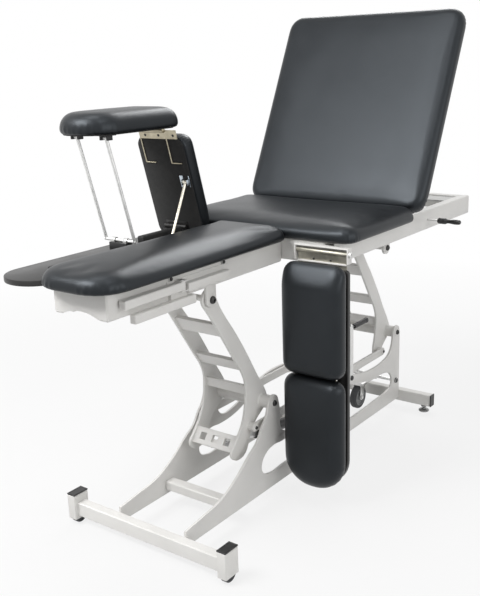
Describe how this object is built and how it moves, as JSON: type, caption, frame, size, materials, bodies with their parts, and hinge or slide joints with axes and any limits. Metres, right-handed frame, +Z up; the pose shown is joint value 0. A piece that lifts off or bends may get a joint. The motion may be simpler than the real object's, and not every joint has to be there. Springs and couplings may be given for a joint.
{
  "type": "chiropractic table",
  "caption": "Powered hi-lo treatment table: welded base, parallel lift arms, tilting backrest, fixed leg rest, and split side leg sections with folding thigh and calf pads",
  "frame": {"origin": "centre of the bounding box on the floor plane", "axes": "+X from the foot end to the head end, +Y to the side with the raised leg section, +Z up"},
  "size_m": [1.804, 0.748, 1.4857],
  "materials": {
    "powder_coat": "satin powder coat",
    "black_vinyl": "grained vinyl upholstery over foam",
    "black_board": "matte black painted board",
    "black_plastic": "moulded matte",
    "zinc_steel": "zinc plated",
    "grey_rubber": "matte tread",
    "grey_cover": "matte sheet"
  },
  "bodies": {
    "base": {"base_plate_near": "powder_coat", "base_plate_far": "powder_coat", "foot_crossbar": "powder_coat", "head_crossbar": "powder_coat", "base_tie": "powder_coat", "actuator_mount": "powder_coat", "foot_pivot_pin": "black_plastic", "head_pivot_pin": "black_plastic"},
    "roller_near": {"foot_roller_near": "grey_rubber"},
    "roller_far": {"foot_roller_far": "grey_rubber"},
    "level_near": {"level_foot_near": "zinc_steel"},
    "level_far": {"level_foot_far": "zinc_steel"},
    "castor_carriage": {"castor_carriage": "zinc_steel"},
    "castor_fork": {"castor_fork": "zinc_steel"},
    "castor_wheel": {"castor_wheel": "grey_rubber"},
    "castor_lever": {"castor_lever": "black_plastic"},
    "foot_arm": {"foot_arm": "powder_coat"},
    "head_arm": {"head_arm": "powder_coat"},
    "tie_links": {"tie_link_near": "powder_coat", "tie_link_far": "powder_coat"},
    "actuator_body": {"actuator_body": "black_plastic"},
    "actuator_rod": {"actuator_rod": "zinc_steel"},
    "deck": {"leg_channel": "powder_coat", "front_top_pin": "black_plastic", "side_rail_near": "powder_coat", "side_rail_far": "powder_coat", "foot_crossmember": "powder_coat", "head_crossmember": "powder_coat", "pivot_crossmember": "powder_coat", "head_top_shaft": "black_plastic", "head_cover": "grey_cover", "prop_rack": "zinc_steel", "seat_board": "black_board", "seat_cushion": "black_vinyl", "leg_cushion": "black_vinyl", "leg_bracket_near": "powder_coat", "leg_bracket_far": "powder_coat"},
    "backrest": {"backrest_board": "black_board", "backrest_cushion": "black_vinyl", "back_hinge": "zinc_steel", "back_prop_bracket": "zinc_steel"},
    "back_prop": {"back_prop": "zinc_steel"},
    "release_lever": {"release_lever": "black_plastic"},
    "support_near": {"support_arm_near": "powder_coat"},
    "support_far": {"support_arm_far": "powder_coat"},
    "leg_near": {"leg_board_near": "black_board", "leg_hinge_near": "zinc_steel"},
    "thigh_near": {"thigh_pad_near": "black_vinyl", "knee_hinge_near": "zinc_steel"},
    "calf_near": {"calf_pad_near": "black_vinyl"},
    "rods_near": {"calf_rods_near": "zinc_steel"},
    "prop_near": {"thigh_prop_near": "zinc_steel"},
    "leg_far": {"leg_board_far": "black_board", "leg_hinge_far": "zinc_steel"},
    "thigh_far": {"thigh_pad_far": "black_vinyl", "knee_hinge_far": "zinc_steel"},
    "calf_far": {"calf_pad_far": "black_vinyl"},
    "rods_far": {"calf_rods_far": "zinc_steel"},
    "prop_far": {"thigh_prop_far": "zinc_steel"}
  },
  "joints": [
    {"name": "lift", "type": "hinge", "parent": "base", "child": "foot_arm", "pos_m": [-0.216, 0.031, 0.316], "axis": [0, 1, 0], "range_deg": [-50, 15]},
    {"name": "head_arm_swing", "type": "hinge", "parent": "base", "child": "head_arm", "pos_m": [0.617, 0.031, 0.316], "axis": [0, 1, 0], "range_deg": [-51, 16]},
    {"name": "deck_level", "type": "hinge", "parent": "foot_arm", "child": "deck", "pos_m": [-0.457, 0.031, 0.699], "axis": [0, 1, 0], "range_deg": [-16, 51]},
    {"name": "link_swing", "type": "hinge", "parent": "foot_arm", "child": "tie_links", "pos_m": [-0.284, 0.031, 0.254], "axis": [0, 1, 0], "range_deg": [-16, 51]},
    {"name": "actuator_swing", "type": "hinge", "parent": "base", "child": "actuator_body", "pos_m": [0.2, 0.031, 0.1], "axis": [0, 1, 0], "range_deg": [-4, 1.5]},
    {"name": "actuator_stroke", "type": "slide", "parent": "actuator_body", "child": "actuator_rod", "axis": [-0.9864, 0, 0.1644], "range_m": [-0.146, 0.045]},
    {"name": "castor_lever_turn", "type": "hinge", "parent": "base", "child": "castor_lever", "pos_m": [0.26, -0.1003, 0.245], "axis": [0, 1, 0], "range_deg": [0, 35]},
    {"name": "castor_press", "type": "hinge", "parent": "base", "child": "castor_carriage", "pos_m": [0.616, 0.031, 0.12], "axis": [0, 1, 0], "range_deg": [-7.5, 0.5]},
    {"name": "castor_swivel", "type": "hinge", "parent": "castor_carriage", "child": "castor_fork", "pos_m": [0.563, 0.031, 0.105], "axis": [0, 0, 1], "continuous": true},
    {"name": "castor_roll", "type": "hinge", "parent": "castor_fork", "child": "castor_wheel", "pos_m": [0.548, 0.031, 0.0485], "axis": [0, 1, 0], "continuous": true},
    {"name": "roller_near_roll", "type": "hinge", "parent": "base", "child": "roller_near", "pos_m": [-0.67, -0.253, 0.024], "axis": [0, 1, 0], "continuous": true},
    {"name": "roller_far_roll", "type": "hinge", "parent": "base", "child": "roller_far", "pos_m": [-0.67, 0.315, 0.024], "axis": [0, 1, 0], "continuous": true},
    {"name": "level_near_turn", "type": "hinge", "parent": "base", "child": "level_near", "pos_m": [0.6605, -0.1977, 0.013], "axis": [0, 0, 1], "continuous": true},
    {"name": "level_far_turn", "type": "hinge", "parent": "base", "child": "level_far", "pos_m": [0.6605, 0.2597, 0.013], "axis": [0, 0, 1], "continuous": true},
    {"name": "backrest_tilt", "type": "hinge", "parent": "deck", "child": "backrest", "pos_m": [0.365, 0.031, 0.822], "axis": [0, 1, 0], "range_deg": [-10, 64]},
    {"name": "back_prop_fold", "type": "hinge", "parent": "backrest", "child": "back_prop", "pos_m": [0.46593, 0.031, 0.97304], "axis": [0, 1, 0], "range_deg": [-129, 21]},
    {"name": "release_lift", "type": "hinge", "parent": "deck", "child": "release_lever", "pos_m": [0.528, -0.2553, 0.778], "axis": [1, 0, 0], "range_deg": [-20, 0], "stiffness_Nm_per_rad": 0.5, "springref_deg": 8.59},
    {"name": "support_near_swing", "type": "hinge", "parent": "deck", "child": "support_near", "pos_m": [-0.598, -0.0785, 0.774], "axis": [0, 0, 1], "range_deg": [0, 90]},
    {"name": "support_far_swing", "type": "hinge", "parent": "deck", "child": "support_far", "pos_m": [-0.598, 0.1405, 0.774], "axis": [0, 0, 1], "range_deg": [-90, 0]},
    {"name": "leg_near_swing", "type": "hinge", "parent": "deck", "child": "leg_near", "pos_m": [-0.121, -0.218, 0.786], "axis": [0, 1, 0], "range_deg": [0, 90]},
    {"name": "thigh_near_fold", "type": "hinge", "parent": "leg_near", "child": "thigh_near", "pos_m": [-0.165, -0.218, 0.722], "axis": [0, 1, 0], "range_deg": [0, 74.3]},
    {"name": "knee_near_fold", "type": "hinge", "parent": "thigh_near", "child": "calf_near", "pos_m": [-0.165, -0.218, 0.4], "axis": [0, 1, 0], "range_deg": [-74.4, 0.1]},
    {"name": "rods_near_swing", "type": "hinge", "parent": "leg_near", "child": "rods_near", "pos_m": [-0.165, -0.218, 0.468], "axis": [0, 1, 0], "range_deg": [-0.1, 74.4]},
    {"name": "prop_near_fold", "type": "hinge", "parent": "thigh_near", "child": "prop_near", "pos_m": [-0.1687, -0.147, 0.567], "axis": [0, 1, 0], "range_deg": [-131.6, 0.1]},
    {"name": "leg_far_swing", "type": "hinge", "parent": "deck", "child": "leg_far", "pos_m": [-0.121, 0.28, 0.786], "axis": [0, 1, 0], "range_deg": [-90, 0]},
    {"name": "thigh_far_fold", "type": "hinge", "parent": "leg_far", "child": "thigh_far", "pos_m": [-0.185, 0.28, 0.83], "axis": [0, 1, 0], "range_deg": [-74.3, 0]},
    {"name": "knee_far_fold", "type": "hinge", "parent": "thigh_far", "child": "calf_far", "pos_m": [-0.27213, 0.28, 1.13999], "axis": [0, 1, 0], "range_deg": [-0.1, 74.4]},
    {"name": "rods_far_swing", "type": "hinge", "parent": "leg_far", "child": "rods_far", "pos_m": [-0.439, 0.28, 0.83], "axis": [0, 1, 0], "range_deg": [-74.4, 0.1]},
    {"name": "prop_far_fold", "type": "hinge", "parent": "thigh_far", "child": "prop_far", "pos_m": [-0.22338, 0.209, 0.98022], "axis": [0, 1, 0], "range_deg": [-0.1, 131.6]}
  ],
  "couplings": [
    {"joint": "head_arm_swing", "follows": "lift", "ratio": 1},
    {"joint": "deck_level", "follows": "lift", "ratio": -1},
    {"joint": "link_swing", "follows": "lift", "ratio": -1},
    {"joint": "actuator_swing", "follows": "lift", "ratio": 0.07},
    {"joint": "actuator_stroke", "follows": "lift", "m_per_rad": 0.165},
    {"joint": "castor_press", "follows": "castor_lever_turn", "ratio": -0.2},
    {"joint": "back_prop_fold", "follows": "backrest_tilt", "ratio": -2},
    {"joint": "knee_near_fold", "follows": "thigh_near_fold", "ratio": -1},
    {"joint": "rods_near_swing", "follows": "thigh_near_fold", "ratio": 1},
    {"joint": "prop_near_fold", "follows": "thigh_near_fold", "ratio": -1.7685},
    {"joint": "knee_far_fold", "follows": "thigh_far_fold", "ratio": -1},
    {"joint": "rods_far_swing", "follows": "thigh_far_fold", "ratio": 1},
    {"joint": "prop_far_fold", "follows": "thigh_far_fold", "ratio": -1.7685}
  ]
}
